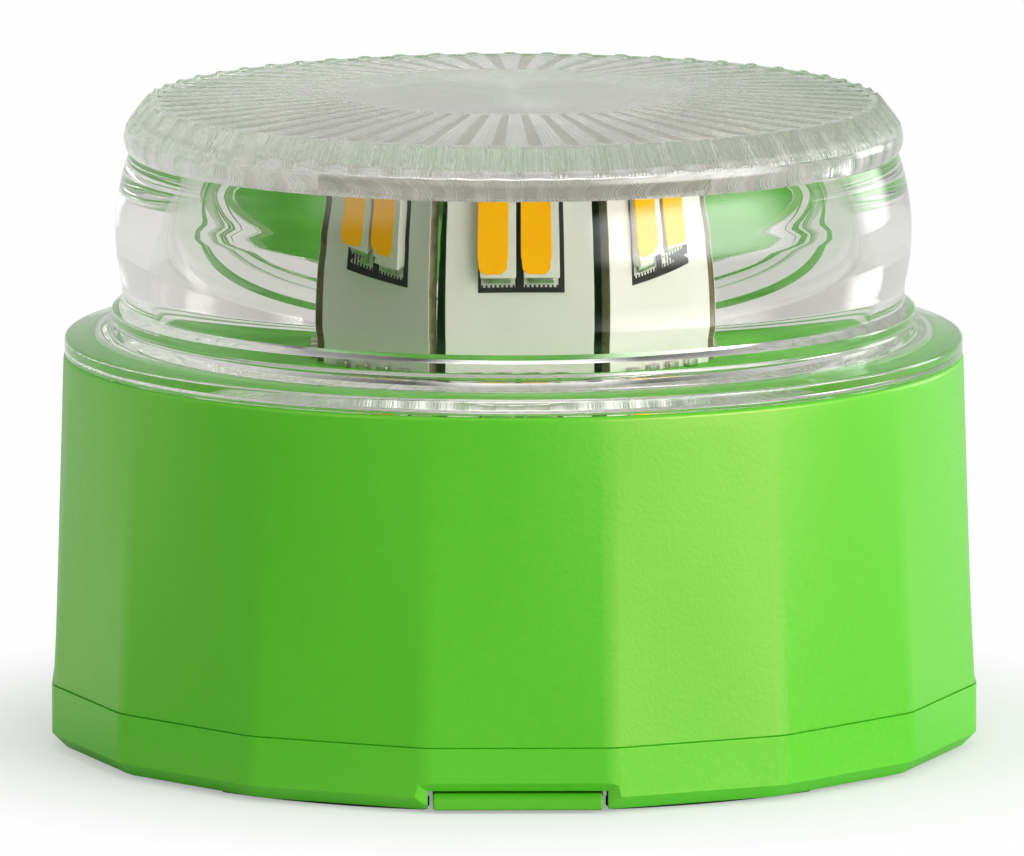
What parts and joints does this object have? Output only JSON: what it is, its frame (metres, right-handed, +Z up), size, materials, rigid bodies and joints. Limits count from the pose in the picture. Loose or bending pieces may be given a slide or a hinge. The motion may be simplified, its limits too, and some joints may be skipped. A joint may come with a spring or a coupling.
{
  "type": "road hazard beacon",
  "caption": "Round battery LED hazard beacon: faceted green body, thick clear prismatic lens over an LED tower, battery door and button underneath.",
  "frame": {"origin": "middle of the surface that the beacon stands on", "axes": "+Z up through the lens, -Y towards the notch with the battery door's tab"},
  "size_m": [0.0794, 0.0794, 0.056],
  "materials": {
    "lens": "clear polycarbonate, polished",
    "seal": "matte",
    "housing": "fine moulded texture",
    "base_cover": "fine moulded texture",
    "battery_door": "fine moulded texture",
    "screws": "zinc plated",
    "foot": "matte",
    "main_board": "solder mask",
    "top_board": "bare laminate",
    "led_board": "white solder mask",
    "led_package": "satin",
    "led_window": "silicone phosphor",
    "tray": "satin",
    "contacts": "nickel plated",
    "red_wire": "satin",
    "black_wire": "satin",
    "button": "matte silicone",
    "switch": "satin",
    "chip": "moulded epoxy",
    "capacitor": "satin can",
    "cell": "plain wrapped can",
    "magnet": "nickel plated"
  },
  "bodies": {
    "body": {"lens": "lens", "lens_seal": "seal", "housing": "housing", "base_cover": "base_cover", "base_seal": "seal", "base_screws": "screws", "foot_pads": "foot", "main_board": "main_board", "top_board": "top_board", "battery_tray": "tray", "tray_screws": "screws", "battery_contacts": "contacts", "battery_springs": "contacts", "red_wire": "red_wire", "black_wire": "black_wire", "tact_switch": "switch", "switch_board": "main_board", "switch_screws": "screws", "microcontroller": "chip", "inductor": "chip", "capacitors": "capacitor", "resistors": "chip", "led_board_1": "led_board", "led_pair_1": "led_package", "led_window_1": "led_window", "led_board_2": "led_board", "led_pair_2": "led_package", "led_window_2": "led_window", "led_board_3": "led_board", "led_pair_3": "led_package", "led_window_3": "led_window", "led_board_4": "led_board", "led_pair_4": "led_package", "led_window_4": "led_window", "led_board_5": "led_board", "led_pair_5": "led_package", "led_window_5": "led_window", "led_board_6": "led_board", "led_pair_6": "led_package", "led_window_6": "led_window", "led_board_7": "led_board", "led_pair_7": "led_package", "led_window_7": "led_window", "led_board_8": "led_board", "led_pair_8": "led_package", "led_window_8": "led_window", "battery_cell_1": "cell", "battery_cell_2": "cell", "battery_cell_3": "cell", "magnet_1": "magnet", "magnet_2": "magnet", "magnet_3": "magnet", "magnet_4": "magnet"},
    "door": {"battery_door": "battery_door", "door_seal": "seal"},
    "button": {"power_button": "button"}
  },
  "joints": [
    {"name": "battery_door_hinge", "type": "hinge", "parent": "body", "child": "door", "pos_m": [0, 0.017, 0.0018], "axis": [1, 0, 0], "range_deg": [0, 95]},
    {"name": "power_button_press", "type": "slide", "parent": "body", "child": "button", "axis": [0, 0, 1], "range_m": [0, 0.0008], "stiffness_N_per_m": 800, "springref_m": -0.0002}
  ]
}
